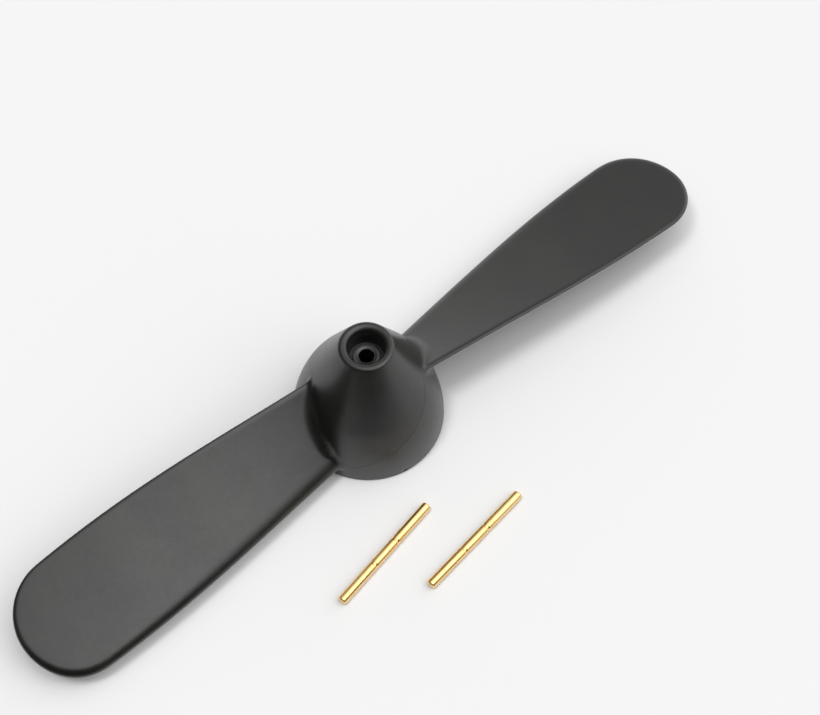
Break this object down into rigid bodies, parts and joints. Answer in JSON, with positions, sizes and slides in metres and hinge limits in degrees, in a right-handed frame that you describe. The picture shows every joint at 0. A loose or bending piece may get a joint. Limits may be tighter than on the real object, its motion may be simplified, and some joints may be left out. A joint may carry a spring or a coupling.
{
  "type": "propeller",
  "caption": "Two-blade moulded plastic screw propeller with a hollow bell hub and nose recess for a pin-driven 10 mm shaft, with two spare grooved shear pins lying beside it.",
  "frame": {"origin": "centre of the shaft bore's mouth, in the hub's base plane", "axes": "+Z along the shaft from the open base of the hub to its nose; the blades lie along +X and -X"},
  "size_m": [0.2548, 0.0808, 0.0434],
  "materials": {
    "black_nylon": "satin",
    "brass": "satin"
  },
  "bodies": {
    "propeller": {"hub_shell": "black_nylon", "shaft_boss": "black_nylon", "hub_ribs": "black_nylon", "pin_slot_walls": "black_nylon", "blade_1": "black_nylon", "blade_2": "black_nylon"},
    "pin_1": {"shear_pin_1": "brass"},
    "pin_2": {"shear_pin_2": "brass"}
  },
  "joints": [
    {"name": "shear_pin_1_lift", "type": "slide", "parent": "propeller", "child": "pin_1", "axis": [0, 0, 1], "range_m": [0, 0.06]},
    {"name": "shear_pin_2_lift", "type": "slide", "parent": "propeller", "child": "pin_2", "axis": [0, 0, 1], "range_m": [0, 0.06]}
  ]
}
